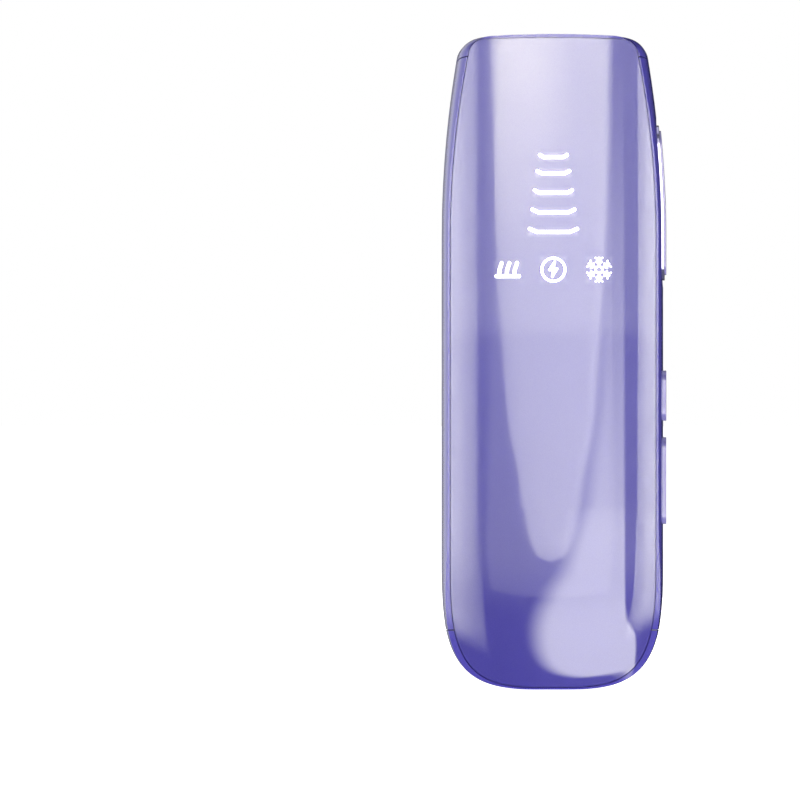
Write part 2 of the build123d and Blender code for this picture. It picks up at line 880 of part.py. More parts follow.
def fan_wheel():
    """a drum of short blades round a cup-shaped hub"""
    low = fan_front + fan_wall + 0.8
    high = fan_rear - fan_wall - 0.8
    spin = Pos(0, 0, fan_middle)
    cup = rod((0, low + 1.2, 0), (0, high - 1.2, 0), hub_radius)
    cup -= rod((0, low, 0), (0, high - 2.4, 0), hub_radius - 1)
    disc = rod((0, low + 1.2, 0), (0, low + 2.2, 0), wheel_radius)
    disc -= rod((0, low, 0), (0, high, 0), hub_radius - 0.5)
    rim = rod((0, high - 1, 0), (0, high, 0), wheel_radius)
    rim -= rod((0, low, 0), (0, high + 1, 0), wheel_radius - 1.2)
    wheel = cup + disc + rim
    vane = block(-2.0, 2.0, low + 1.7, high - 0.5, -0.3, 0.3)
    blade = Pos(wheel_radius - 2.2, 0, 0) * Rot(0, 28, 0) * vane
    for k in range(blades):
        wheel += Rot(0, 360 / blades * k, 0) * blade
    wheel -= rod((0, low, 0), (0, low + 7.2, 0), shaft_radius)
    return spin * wheel


def air_duct():
    low = fan_top
    high = fan_top + duct_height
    side = fan_side / 2 - 0.5
    front = fan_front
    back = fan_rear
    tube = block(-side, side, sink_front, back, low, high)
    tube -= block(-side + 1, side - 1, sink_front + 1, back - 1, low + 1, high + 1)
    tube -= block(-side + 1, side - 1, front + fan_wall, back - fan_wall, low - 1, high)
    return tube


def intake_mesh():
    y0 = rear_in - mesh_wall - 0.05
    y1 = rear_in - 0.05
    disc = rod((0, y0, fan_middle), (0, y1, fan_middle), grille_radius + 2.5)
    holes = rod((0, y0 - 1, fan_middle), (0, y1 + 1, fan_middle), grille_radius + 1)
    bars = Part()
    count = int(grille_radius / 4)
    for k in range(-count, count + 1):
        reach = sqrt((grille_radius + 1.5) ** 2 - (4 * k) ** 2)
        bars += block(4 * k - 0.25, 4 * k + 0.25, y0, y1, fan_middle - reach, fan_middle + reach)
        bars += block(-reach, reach, y0, y1, fan_middle + 4 * k - 0.25, fan_middle + 4 * k + 0.25)
    return (disc - holes) + bars


# power side

board_back = main_board_y + board_wall


def main_board():
    plate = block(-main_board_half, main_board_half, main_board_y, board_back, main_board_low, main_board_top)
    for x, z in board_posts():
        plate -= rod((x, -rear, z), (x, 0, z), screw_radius + 0.2)
    return plate


capacitor_low = column_rows[0] + column_radius + 1.0
capacitor_x = -8.0
capacitor_y = board_back + 1.2 + capacitor_radius


def main_capacitor():
    high = capacitor_low + capacitor_length
    can = rod((capacitor_x, capacitor_y, capacitor_low), (capacitor_x, capacitor_y, high), capacitor_radius)
    return fillet(can.edges().filter_by(GeomType.CIRCLE), 1.0)


def capacitor_cradle():
    low = capacitor_low + 5
    high = capacitor_low + capacitor_length - 5
    saddle = block(capacitor_x - 10, capacitor_x + 10, capacitor_y + 4, rear_in - 0.05, low, high)
    saddle -= rod((capacitor_x, capacitor_y, 0), (capacitor_x, capacitor_y, length), capacitor_radius)
    return saddle - block(capacitor_x - 20, capacitor_x + 20, -rear, rear, low + 6, high - 6)


def coil_transformer():
    low = capacitor_low + 14
    core = block(6.5, 17.5, board_back + 0.1, board_back + 13, low, low + 3)
    core += block(6.5, 17.5, board_back + 0.1, board_back + 13, low + 15, low + 18)
    core += block(10.0, 14.0, board_back + 4.5, board_back + 8.5, low, low + 18)
    return core


def coil_winding():
    low = capacitor_low + 17.1
    middle = (12.0, board_back + 6.5)
    coil = rod((*middle, low), (*middle, low + 11.8), 5.2)
    return coil - block(10.0, 14.0, board_back + 4.5, board_back + 8.5, 0, length)


def ignition_coil():
    low = capacitor_low + capacitor_length - 6
    return block(7, 16, board_back, board_back + 8, low, low + 12)


def board_chips():
    chips = [
        block(-6, 4, board_back, board_back + 1.3, main_board_top - 14, main_board_top - 4),
        block(8, 13, board_back, board_back + 1.0, main_board_top - 12, main_board_top - 7),
        block(-13, -9, board_back, board_back + 1.6, main_board_top - 24, main_board_top - 19),
        block(6, 15, board_back, board_back + 4.2, main_board_low + 8, main_board_low + 12),
    ]
    return Compound(children=chips)


def small_capacitors():
    z = capacitor_low + capacitor_length + 7
    cans = [rod((x, board_back, z), (x, board_back + 8, z), 2.5) for x in (-13, -7, -1)]
    return Compound(children=cans)


def jack_body():
    top = wall + jack_length
    shell = rod((0, jack_y, wall), (0, jack_y, top), jack_radius)
    shell -= rod((0, jack_y, 0), (0, jack_y, top - jack_floor), jack_bore)
    return shell - rod((0, jack_y, 0), (0, jack_y, 2 * top), jack_tail)


def jack_contact():
    floor = wall + jack_length - jack_floor
    pin = rod((0, jack_y, wall + 0.8), (0, jack_y, floor), jack_pin)
    return pin + rod((0, jack_y, floor), (0, jack_y, wall + jack_length + 1.5), jack_tail)


# fasteners and wires

def screw_y(x, z, seat, way, reach):
    """a screw along Y: its head stands on seat, and its shank runs the given way"""
    head = rod((x, seat - way * screw_head_height, z), (x, seat, z), screw_head)
    return head + rod((x, seat, z), (x, seat + way * reach, z), screw_radius)


def carrier_screws():
    screws = []
    for side in (-1, 1):
        for z in column_rows:
            seat = screw_face(z) + screw_head_height
            screws.append(screw_y(side * column_x, z, seat, 1, 8.0))
    return Compound(children=screws)


def board_screws():
    screws = [screw_y(x, z, board_back, -1, board_wall + board_screw_reach) for x, z in board_posts()]
    back = display_board_y + display_board_wall
    for x, z in display_posts():
        screws.append(screw_y(x, z, back, -1, display_board_wall + display_screw_reach))
    for z in switch_posts:
        head = rod((switch_plate_x - screw_head_height, 0, z), (switch_plate_x, 0, z), screw_head)
        screws.append(head + rod((switch_plate_x, 0, z), (switch_plate_x + 4.5, 0, z), screw_radius))
    return Compound(children=screws)


def jack_leads():
    leads = []
    for side in (-1, 1):
        x = side * 3.0
        start = wall + jack_length
        route = [(x, jack_y, start), (x, jack_y, start + 5), (x, board_back + 2.2, start + 8),
                 (x, board_back + 2.2, start + 14)]
        leads.append(wire_tube(route, 0.7, 1.6))
    return Compound(children=leads)


def lamp_leads():
    leads = []
    for x, y in lead_places():
        side = 1 if x > 0 else -1
        end = lamp_length / 2 + 0.8
        drop = -chassis_drop + 1.0
        pins = [(side * end, 0, -lamp_drop), (side * (end + 1.2), 0, -lamp_drop),
                (side * (end + 1.2), -6.0, drop), (side * 16.5, -6.0, drop), (side * 16.5, -6.0, drop - 7)]
        route = [tuple((optics * Pos(*p)).position) for p in pins]
        leads.append(wire_tube(route, 0.6, 0.7))
    return Compound(children=leads)


def build():
    pipes = heat_pipes()
    pieces = {
        "main_housing": main_housing(),
        "head_cap": head_cap(),
        "end_cap": end_cap(),
        "front_panel": front_panel(),
        "panel_seal": panel_seal(),
        "front_carrier": front_carrier(),
        "light_guide": light_guide(),
        "display_board": display_board(),
        "display_leds": display_leds(),
        "trigger_button": button_piece(trigger),
        "power_button": button_piece(power),
        "level_button": button_piece(level),
        "trigger_ring": trigger_ring(),
        "switch_board": switch_board(),
        "switch_bodies": switch_bodies(),
        "trigger_plunger": plunger(trigger[0]),
        "power_plunger": plunger(power[0]),
        "level_plunger": plunger(level[0]),
        "sapphire_window": sapphire_window(),
        "window_bezel": window_bezel(),
        "contact_pads": contact_pads(),
        "window_gasket": window_gasket(),
        "cold_frame": cold_frame(),
        "cooler_modules": cooler_modules(),
        "hot_blocks": hot_blocks(pipes),
        "heat_pipes": pipes,
        "filter_glass": filter_glass(),
        "reflector": reflector(),
        "flash_lamp": flash_lamp(),
        "lamp_electrodes": lamp_electrodes(),
        "lamp_holder_left": lamp_holder(-1),
        "lamp_holder_right": lamp_holder(1),
        "optics_chassis": optics_chassis(),
        "head_screws": head_screws(),
        "temperature_sensor": temperature_sensor(),
        "heat_sink": heat_sink(pipes),
        "fan_housing": fan_housing(),
        "fan_bearing": fan_bearing(),
        "fan_shaft": fan_shaft(),
        "fan_wheel": fan_wheel(),
        "air_duct": air_duct(),
        "intake_mesh": intake_mesh(),
        "main_board": main_board(),
        "main_capacitor": main_capacitor(),
        "capacitor_cradle": capacitor_cradle(),
        "coil_core": coil_transformer(),
        "coil_winding": coil_winding(),
        "ignition_coil": ignition_coil(),
        "board_chips": board_chips(),
        "small_capacitors": small_capacitors(),
        "jack_body": jack_body(),
        "jack_contact": jack_contact(),
        "carrier_screws": carrier_screws(),
        "board_screws": board_screws(),
        "jack_leads": jack_leads(),
        "lamp_leads": lamp_leads(),
    }
    for node, prism in marks.items():
        pieces[node] = prism & behind_front(0, glyph_depth)
    return pieces


for name, shape in build().items():
    save(name, shape)
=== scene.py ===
import json
import math

import bpy
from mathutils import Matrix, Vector

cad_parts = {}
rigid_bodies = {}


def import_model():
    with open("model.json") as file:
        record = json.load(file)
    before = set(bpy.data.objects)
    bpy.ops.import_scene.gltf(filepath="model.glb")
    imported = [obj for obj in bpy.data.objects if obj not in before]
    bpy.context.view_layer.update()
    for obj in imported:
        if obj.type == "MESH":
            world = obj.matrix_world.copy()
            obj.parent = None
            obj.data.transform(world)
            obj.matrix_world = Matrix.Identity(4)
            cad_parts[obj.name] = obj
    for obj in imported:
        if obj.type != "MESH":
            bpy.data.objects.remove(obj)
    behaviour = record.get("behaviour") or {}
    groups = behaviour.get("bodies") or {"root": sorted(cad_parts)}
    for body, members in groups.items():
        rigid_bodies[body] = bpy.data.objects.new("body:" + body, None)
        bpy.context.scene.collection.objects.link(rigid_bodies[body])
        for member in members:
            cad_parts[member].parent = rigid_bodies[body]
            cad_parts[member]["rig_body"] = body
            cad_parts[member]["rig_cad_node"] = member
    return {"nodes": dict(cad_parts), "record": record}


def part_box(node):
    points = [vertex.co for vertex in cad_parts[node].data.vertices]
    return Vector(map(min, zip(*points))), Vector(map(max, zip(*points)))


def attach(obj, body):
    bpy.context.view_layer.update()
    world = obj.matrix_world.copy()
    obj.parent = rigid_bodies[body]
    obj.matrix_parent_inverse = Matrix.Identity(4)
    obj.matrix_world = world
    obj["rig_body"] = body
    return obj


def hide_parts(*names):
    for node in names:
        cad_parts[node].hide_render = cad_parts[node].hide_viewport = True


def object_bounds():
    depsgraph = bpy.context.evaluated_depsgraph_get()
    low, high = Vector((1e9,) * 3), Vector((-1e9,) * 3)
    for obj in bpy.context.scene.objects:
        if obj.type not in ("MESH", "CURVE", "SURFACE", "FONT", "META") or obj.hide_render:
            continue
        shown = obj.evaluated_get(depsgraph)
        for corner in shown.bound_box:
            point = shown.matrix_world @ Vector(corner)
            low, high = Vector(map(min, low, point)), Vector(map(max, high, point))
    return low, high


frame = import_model()
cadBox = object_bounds()
nodes = frame["nodes"]
mm = 0.001
print("frame loaded,", len(nodes), "nodes")


# small tools

def deselectAll():
    for thing in bpy.context.selected_objects:
        thing.select_set(False)


def plug(tree, value, socket):
    if isinstance(value, (int, float, tuple)):
        socket.default_value = value
    else:
        tree.links.new(value, socket)


def newGroup(name, inputs, outputs):
    tree = bpy.data.node_groups.new(name, "ShaderNodeTree")
    for label, kind, value in inputs:
        socket = tree.interface.new_socket(label, in_out="INPUT", socket_type=kind)
        if value is not None:
            socket.default_value = value
    for label, kind in outputs:
        tree.interface.new_socket(label, in_out="OUTPUT", socket_type=kind)
    return tree, tree.nodes.new("NodeGroupInput").outputs, tree.nodes.new("NodeGroupOutput").inputs


def useGroup(tree, group, **values):
    node = tree.nodes.new("ShaderNodeGroup")
    node.node_tree = group
    for label, value in values.items():
        plug(tree, value, node.inputs[label])
    return node.outputs


def calc(tree, operation, first, second=0.0, clamp=False):
    node = tree.nodes.new("ShaderNodeMath")
    node.operation = operation
    node.use_clamp = clamp
    plug(tree, first, node.inputs[0])
    plug(tree, second, node.inputs[1])
    return node.outputs[0]


def ramp(tree, value, low, high, start=0.0, end=1.0, smooth=True):
    node = tree.nodes.new("ShaderNodeMapRange")
    node.interpolation_type = "SMOOTHSTEP" if smooth else "LINEAR"
    plug(tree, value, node.inputs["Value"])
    node.inputs["From Min"].default_value = low
    node.inputs["From Max"].default_value = high
    node.inputs["To Min"].default_value = start
    node.inputs["To Max"].default_value = end
    return node.outputs["Result"]


def mixColours(tree, share, first, second):
    node = tree.nodes.new("ShaderNodeMix")
    node.data_type = "RGBA"
    plug(tree, share, node.inputs[0])
    plug(tree, first, node.inputs[6])
    plug(tree, second, node.inputs[7])
    return node.outputs[2]


def noise(tree, vector, scale, detail=3.0, rough=0.5):
    node = tree.nodes.new("ShaderNodeTexNoise")
    plug(tree, vector, node.inputs["Vector"])
    plug(tree, scale, node.inputs["Scale"])
    node.inputs["Detail"].default_value = detail
    node.inputs["Roughness"].default_value = rough
    return node.outputs["Fac"]


def stretched(tree, vector, scale):
    node = tree.nodes.new("ShaderNodeMapping")
    plug(tree, vector, node.inputs["Vector"])
    node.inputs["Scale"].default_value = scale
    return node.outputs["Vector"]


def bands(tree, vector, scale, axis):
    node = tree.nodes.new("ShaderNodeTexWave")
    node.bands_direction = axis
    plug(tree, vector, node.inputs["Vector"])
    node.inputs["Scale"].default_value = scale
    return node.outputs["Fac"]


def axesOf(tree, vector):
    split = tree.nodes.new("ShaderNodeSeparateXYZ")
    tree.links.new(vector, split.inputs[0])
    return split.outputs


def objectPlace(tree):
    return tree.nodes.new("ShaderNodeTexCoord").outputs["Object"]


def newMaterial(name, colour, roughness, metallic=0.0, **sockets):
    material = bpy.data.materials.new(name)
    material.use_nodes = True
    shader = material.node_tree.nodes["Principled BSDF"]
    shader.inputs["Base Color"].default_value = (*colour, 1.0)
    shader.inputs["Roughness"].default_value = roughness
    shader.inputs["Metallic"].default_value = metallic
    for label, value in sockets.items():
        shader.inputs[label.replace("_", " ")].default_value = value
    return material, material.node_tree, shader


def addBump(tree, shader, height, distance):
    bump = tree.nodes.new("ShaderNodeBump")
    bump.inputs["Strength"].default_value = 1.0
    bump.inputs["Distance"].default_value = distance
    tree.links.new(height, bump.inputs["Height"])
    tree.links.new(bump.outputs[0], shader.inputs["Normal"])


def dress(names, material):
    for name in names:
        slots = nodes[name].data.materials
        slots.clear()
        slots.append(material)


# shared effects

lacquerGroup, given, made = newGroup(
    "lacquerSkin", [("Vector", "NodeSocketVector", None), ("Peel Scale", "NodeSocketFloat", 350.0)],
    [("Height", "NodeSocketFloat"), ("Haze", "NodeSocketFloat"), ("Pearl", "NodeSocketFloat")])
peel = noise(lacquerGroup, given["Vector"], given["Peel Scale"], 1.0)   # faint orange peel of a sprayed coat
lacquerGroup.links.new(peel, made["Height"])
haze = noise(lacquerGroup, given["Vector"], 30.0, 2.0, 0.4)
lacquerGroup.links.new(ramp(lacquerGroup, haze, 0.2, 0.8, smooth=False), made["Haze"])
flake = lacquerGroup.nodes.new("ShaderNodeTexVoronoi")                  # pearl flakes under the clear coat
flake.inputs["Scale"].default_value = 9000.0
lacquerGroup.links.new(given["Vector"], flake.inputs["Vector"])
lacquerGroup.links.new(ramp(lacquerGroup, flake.outputs["Distance"], 0.1, 0.7, 1.0, 0.0), made["Pearl"])

grainGroup, given, made = newGroup(
    "mouldedGrain", [("Vector", "NodeSocketVector", None), ("Grain Scale", "NodeSocketFloat", 3000.0)],
    [("Height", "NodeSocketFloat"), ("Rub", "NodeSocketFloat")])
grainGroup.links.new(noise(grainGroup, given["Vector"], given["Grain Scale"], 2.0), made["Height"])
grainGroup.links.new(noise(grainGroup, given["Vector"], 60.0, 4.0), made["Rub"])

brushGroup, given, made = newGroup(
    "toolMarks", [("Vector", "NodeSocketVector", None)],
    [("Lines", "NodeSocketFloat"), ("Tarnish", "NodeSocketFloat")])
lines = noise(brushGroup, stretched(brushGroup, given["Vector"], (6000.0, 6000.0, 120.0)), 1.0, 2.0)
brushGroup.links.new(lines, made["Lines"])
brushGroup.links.new(noise(brushGroup, given["Vector"], 140.0, 4.0, 0.6), made["Tarnish"])

boardGroup, given, made = newGroup(
    "boardTracks", [("Vector", "NodeSocketVector", None)],
    [("Tracks", "NodeSocketFloat"), ("Pads", "NodeSocketFloat")])
cells = boardGroup.nodes.new("ShaderNodeTexBrick")
cells.inputs["Scale"].default_value = 260.0
cells.inputs["Mortar Size"].default_value = 0.05
cells.inputs["Row Height"].default_value = 0.32
boardGroup.links.new(stretched(boardGroup, given["Vector"], (1.0, 0.0, 1.0)), cells.inputs["Vector"])
boardGroup.links.new(cells.outputs["Fac"], made["Tracks"])
dots = boardGroup.nodes.new("ShaderNodeTexVoronoi")
dots.inputs["Scale"].default_value = 420.0
dots.inputs["Randomness"].default_value = 0.35
boardGroup.links.new(given["Vector"], dots.inputs["Vector"])
boardGroup.links.new(ramp(boardGroup, dots.outputs["Distance"], 0.16, 0.2, 1.0, 0.0), made["Pads"])

glowGroup, given, made = newGroup(
    "glowAround",
    [("Vector", "NodeSocketVector", None), ("Across", "NodeSocketFloat", 0.0), ("Up", "NodeSocketFloat", 0.0),
     ("Half Width", "NodeSocketFloat", 0.003), ("Half Height", "NodeSocketFloat", 0.0005),
     ("Reach", "NodeSocketFloat", 0.001)],
    [("Glow", "NodeSocketFloat")])
spots = axesOf(glowGroup, given["Vector"])
gaps = []
for axis, middle, halfSize in ((0, "Across", "Half Width"), (2, "Up", "Half Height")):
    away = calc(glowGroup, "ABSOLUTE", calc(glowGroup, "SUBTRACT", spots[axis], given[middle]))
    gap = calc(glowGroup, "MAXIMUM", calc(glowGroup, "SUBTRACT", away, given[halfSize]), 0.0)
    gaps.append(calc(glowGroup, "MULTIPLY", gap, gap))
distance = calc(glowGroup, "SQRT", calc(glowGroup, "ADD", gaps[0], gaps[1]))
share = calc(glowGroup, "SUBTRACT", 1.0, calc(glowGroup, "DIVIDE", distance, given["Reach"]), clamp=True)
glowGroup.links.new(calc(glowGroup, "MULTIPLY", share, share), made["Glow"])
print("shared effects built")


# finishes

# sprayed colour with pearl under a clear coat, a little deeper towards the foot
def lacquer(name, look):
    material, tree, shader = newMaterial(name, look["high"], look["rough"], Coat_Weight=1.0,
                                         Coat_Roughness=look["coatRough"], Coat_IOR=look["coatIor"],
                                         Specular_IOR_Level=look["gloss"])
    place = objectPlace(tree)
    height = ramp(tree, axesOf(tree, place)[2], *look["fade"])
    colour = mixColours(tree, height, (*look["low"], 1.0), (*look["high"], 1.0))
    skin = useGroup(tree, lacquerGroup, Vector=place)
    pearl = ramp(tree, skin["Pearl"], 0.0, 1.0, 0.0, look["pearl"])
    colour = mixColours(tree, pearl, colour, (*look["flake"], 1.0))
    tree.links.new(colour, shader.inputs["Base Color"])
    roughness = ramp(tree, skin["Haze"], 0.0, 1.0, look["rough"] - 0.02, look["rough"] + 0.02)
    tree.links.new(roughness, shader.inputs["Roughness"])
    addBump(tree, shader, skin["Height"], 0.004 * mm)
    return material, tree, shader


shellLook = {"low": (0.058, 0.045, 0.37), "high": (0.075, 0.062, 0.42), "flake": (0.17, 0.15, 0.56),
             "pearl": 0.25, "rough": 0.34, "coatRough": 0.03, "coatIor": 1.5, "gloss": 0.15,
             "fade": (0.0, 0.06)}
panelLook = {"low": (0.040, 0.030, 0.29), "high": (0.052, 0.043, 0.335), "flake": (0.14, 0.13, 0.48),
             "pearl": 0.18, "rough": 0.36, "coatRough": 0.02, "coatIor": 1.75, "gloss": 0.2,
             "fade": (0.0, 0.09)}
keyLook = {"low": (0.26, 0.235, 0.56), "high": (0.32, 0.29, 0.62), "flake": (0.6, 0.58, 0.9), "pearl": 0.25,
           "rough": 0.3, "coatRough": 0.05, "coatIor": 1.5, "gloss": 0.4, "fade": (0.04, 0.16)}
haloLook = {"reach": 1.3 * mm, "strength": 0.15, "barHalf": 0.45 * mm, "barRise": 0.15 * mm,
            "barEnd": 0.7 * mm, "symbolInset": 0.3 * mm, "symbolShare": 0.2, "rowGap": 2.0 * mm,
            "colour": (0.93, 0.92, 1.0, 1.0)}

shellMaterial = lacquer("lavenderShell", shellLook)[0]
keyMaterial = lacquer("lavenderKey", keyLook)[0]
panelMaterial, panelTree, panelShader = lacquer("violetFront", panelLook)


# soft light spilling round the lit marks, worked out from the marks' own places
place = objectPlace(panelTree)
barCorners = [corner.co for corner in nodes["level_marks"].data.vertices]
barRows = []
for height in sorted({round(corner.z, 5) for corner in barCorners}):
    if not barRows or height - barRows[-1][-1] > haloLook["rowGap"]:
        barRows.append([])
    barRows[-1].append(height)
glow = None
for row in barRows:
    inside = [corner.x for corner in barCorners if row[0] - mm < corner.z < row[-1] + mm]
    one = useGroup(panelTree, glowGroup, Vector=place, Up=row[0] + haloLook["barHalf"] + haloLook["barRise"],
                   Reach=haloLook["reach"], **{"Half Width": max(inside) - haloLook["barEnd"],
                                               "Half Height": haloLook["barHalf"]})["Glow"]
    glow = one if glow is None else calc(panelTree, "MAXIMUM", glow, one)
for name in ("hair_mark", "flash_mark", "cooling_mark"):
    low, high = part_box(name)
    middle, half = (low + high) / 2, (high - low) / 2
    one = useGroup(panelTree, glowGroup, Vector=place, Across=middle[0], Up=middle[2],
                   Reach=haloLook["reach"], **{"Half Width": half[0] - haloLook["symbolInset"],
                                               "Half Height": half[2] - haloLook["symbolInset"]})["Glow"]
    glow = calc(panelTree, "MAXIMUM", glow, calc(panelTree, "MULTIPLY", one, haloLook["symbolShare"]))
haloColour = mixColours(panelTree, glow, (0.0, 0.0, 0.0, 1.0), haloLook["colour"])
panelTree.links.new(haloColour, panelShader.inputs["Emission Color"])
panelShader.inputs["Emission Strength"].default_value = haloLook["strength"]


def plastic(name, colour, roughness, grain=3000.0, depth=0.01):
    material, tree, shader = newMaterial(name, colour, roughness)
    skin = useGroup(tree, grainGroup, Vector=objectPlace(tree), **{"Grain Scale": grain})
    worn = tuple(min(1.0, part * 1.35 + 0.01) for part in colour)
    tree.links.new(mixColours(tree, ramp(tree, skin["Rub"], 0.45, 0.75), (*colour, 1.0), (*worn, 1.0)),
                   shader.inputs["Base Color"])
    tree.links.new(ramp(tree, skin["Rub"], 0.3, 0.7, roughness - 0.06, roughness + 0.08),
                   shader.inputs["Roughness"])
    addBump(tree, shader, skin["Height"], depth * mm)
    return material


def metal(name, colour, roughness, dull, depth=0.004):
    material, tree, shader = newMaterial(name, colour, roughness, 1.0)
    marksMade = useGroup(tree, brushGroup, Vector=objectPlace(tree))
    worn = ramp(tree, marksMade["Tarnish"], 0.45, 0.8)
    tree.links.new(mixColours(tree, worn, (*colour, 1.0), (*dull, 1.0)), shader.inputs["Base Color"])
    tree.links.new(ramp(tree, marksMade["Tarnish"], 0.3, 0.7, roughness * 0.8, roughness * 1.4),
                   shader.inputs["Roughness"])
    addBump(tree, shader, marksMade["Lines"], depth * mm)
    return material


def glass(name, colour, roughness, ior, transmission, cloud=0.0):
    material, tree, shader = newMaterial(name, colour, roughness, IOR=ior, Transmission_Weight=transmission)
    skin = useGroup(tree, grainGroup, Vector=objectPlace(tree), **{"Grain Scale": 400.0})
    milky = tuple(min(1.0, part * 0.85 + 0.05) for part in colour)
    tree.links.new(mixColours(tree, ramp(tree, skin["Rub"], 0.4, 0.9), (*colour, 1.0), (*milky, 1.0)),
                   shader.inputs["Base Color"])
    tree.links.new(ramp(tree, skin["Rub"], 0.3, 0.8, roughness, roughness + 0.03 + cloud),
                   shader.inputs["Roughness"])
    return material


def circuitBoard(name):
    material, tree, shader = newMaterial(name, (0.01, 0.09, 0.045), 0.35, Coat_Weight=0.4, Coat_Roughness=0.1)
    made = useGroup(tree, boardGroup, Vector=objectPlace(tree))
    colour = mixColours(tree, made["Tracks"], (0.008, 0.085, 0.04, 1.0), (0.02, 0.16, 0.08, 1.0))
    colour = mixColours(tree, made["Pads"], colour, (0.75, 0.68, 0.45, 1.0))
    tree.links.new(colour, shader.inputs["Base Color"])
    tree.links.new(made["Pads"], shader.inputs["Metallic"])
    tree.links.new(ramp(tree, made["Tracks"], 0.0, 1.0, 0.42, 0.3), shader.inputs["Roughness"])
    addBump(tree, shader, calc(tree, "ADD", made["Tracks"], made["Pads"]), 0.03 * mm)
    return material


def wound(name, colour, turnScale):
    material, tree, shader = newMaterial(name, colour, 0.28, 1.0)
    place = objectPlace(tree)
    turns = bands(tree, place, turnScale, "Z")
    # copper painted darker between the turns: painted shade in the grooves between the wires
    grooveShadeColour = tuple(part * 0.35 for part in colour)
    tree.links.new(mixColours(tree, turns, (*grooveShadeColour, 1.0), (*colour, 1.0)), shader.inputs["Base Color"])
    addBump(tree, shader, turns, 0.12 * mm)
    return material


def sleeve(name, colour, stripe):
    material, tree, shader = newMaterial(name, colour, 0.28, Coat_Weight=0.3, Coat_Roughness=0.15)
    place = objectPlace(tree)
    skin = useGroup(tree, grainGroup, Vector=place, **{"Grain Scale": 900.0})
    side = ramp(tree, axesOf(tree, place)[0], stripe, stripe + 0.3 * mm)
    tree.links.new(mixColours(tree, side, (*colour, 1.0), (0.45, 0.47, 0.5, 1.0)),
                   shader.inputs["Base Color"])
    tree.links.new(ramp(tree, skin["Rub"], 0.3, 0.7, 0.2, 0.36), shader.inputs["Roughness"])
    addBump(tree, shader, skin["Height"], 0.02 * mm)
    return material


slotNodes = {}
for entry in frame["record"]["subparts"]:
    slotNodes.setdefault(entry["material_slot"], []).append(entry["node"])

ringMaterial = metal("platedRing", (0.55, 0.53, 0.80), 0.12, (0.45, 0.43, 0.72), 0.001)
markMaterial, markTree, markShader = newMaterial("litMark", (0.95, 0.95, 1.0), 0.3)
milk = useGroup(markTree, grainGroup, Vector=objectPlace(markTree), **{"Grain Scale": 2500.0})
markTree.links.new(mixColours(markTree, ramp(markTree, milk["Rub"], 0.3, 0.8), (1.0, 1.0, 1.0, 1.0),
                              (0.94, 0.94, 1.0, 1.0)), markShader.inputs["Emission Color"])
markShader.inputs["Emission Strength"].default_value = 1.1
canMiddle = (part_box("main_capacitor")[0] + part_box("main_capacitor")[1]) / 2

looks = {
    "shell": shellMaterial, "panel": panelMaterial, "button": keyMaterial, "bright_ring": ringMaterial,
    "lit_mark": markMaterial,
    "seal": plastic("foamSeal", (0.015, 0.014, 0.02), 0.75, 2200.0, 0.04),
    "carrier": plastic("whiteCarrier", (0.66, 0.66, 0.72), 0.45),
    "circuit_board": circuitBoard("boardGreen"),
    "light_guide": glass("milkyGuide", (0.85, 0.88, 0.97), 0.25, 1.49, 0.4, 0.1),
    "led": plastic("diodeCream", (0.85, 0.80, 0.52), 0.28, 1500.0),
    "switch": plastic("switchBlack", (0.018, 0.018, 0.02), 0.4),
    "plunger": plastic("creamPlunger", (0.6, 0.56, 0.46), 0.45),
    "window": glass("sapphire", (0.86, 0.90, 1.0), 0.02, 1.77, 0.85),
    "bezel": plastic("pearlBezel", (0.72, 0.71, 0.84), 0.22, 2600.0, 0.003),
    "contact": metal("contactPlating", (0.78, 0.78, 0.80), 0.16, (0.66, 0.64, 0.60)),
    "cold_metal": metal("milledAluminium", (0.72, 0.73, 0.74), 0.34, (0.60, 0.61, 0.63), 0.012),
    "cooler": plastic("coolerCeramic", (0.80, 0.80, 0.76), 0.6, 4000.0, 0.006),
    "copper": metal("bareCopper", (0.78, 0.38, 0.22), 0.28, (0.45, 0.18, 0.10), 0.01),
    "filter": glass("cutOffFilter", (0.95, 0.48, 0.12), 0.03, 1.52, 0.7),
    "mirror_trough": metal("polishedTrough", (0.92, 0.92, 0.93), 0.05, (0.85, 0.85, 0.86), 0.001),
    "lamp": glass("quartzTube", (0.93, 0.95, 0.97), 0.02, 1.46, 0.9),
    "lamp_metal": metal("tungsten", (0.48, 0.48, 0.50), 0.3, (0.32, 0.32, 0.34)),
    "holder": plastic("holderCeramic", (0.80, 0.77, 0.70), 0.65, 3500.0, 0.012),
    "chassis": plastic("blackNylon", (0.020, 0.020, 0.023), 0.5),
    "screw": metal("screwSteel", (0.56, 0.56, 0.58), 0.26, (0.42, 0.41, 0.40)),
    "sensor": plastic("pottedBead", (0.55, 0.25, 0.05), 0.35, 1800.0),
    "fan_bearing": metal("sinteredBronze", (0.60, 0.40, 0.18), 0.4, (0.42, 0.27, 0.12), 0.02),
    "fan_shaft": metal("groundSteel", (0.66, 0.66, 0.69), 0.14, (0.55, 0.55, 0.57)),
    "fan_wheel": plastic("wheelBlack", (0.022, 0.022, 0.025), 0.42),
    "mesh": plastic("meshCharcoal", (0.025, 0.022, 0.04), 0.6),
    "capacitor": sleeve("canSleeve", (0.010, 0.014, 0.055), canMiddle[0] + 6 * mm),
    "core": plastic("ferrite", (0.022, 0.022, 0.024), 0.6, 1600.0, 0.03),
    "wire": plastic("siliconeRed", (0.48, 0.02, 0.02), 0.42, 2000.0, 0.01),
}
for slotName, material in looks.items():
    dress(slotNodes[slotName], material)
dress(["coil_winding"], wound("enamelledTurns", (0.80, 0.40, 0.20), 300.0))
print("finishes given to", len(looks), "slots")


# pieces with softened rims, each standing for its CAD node

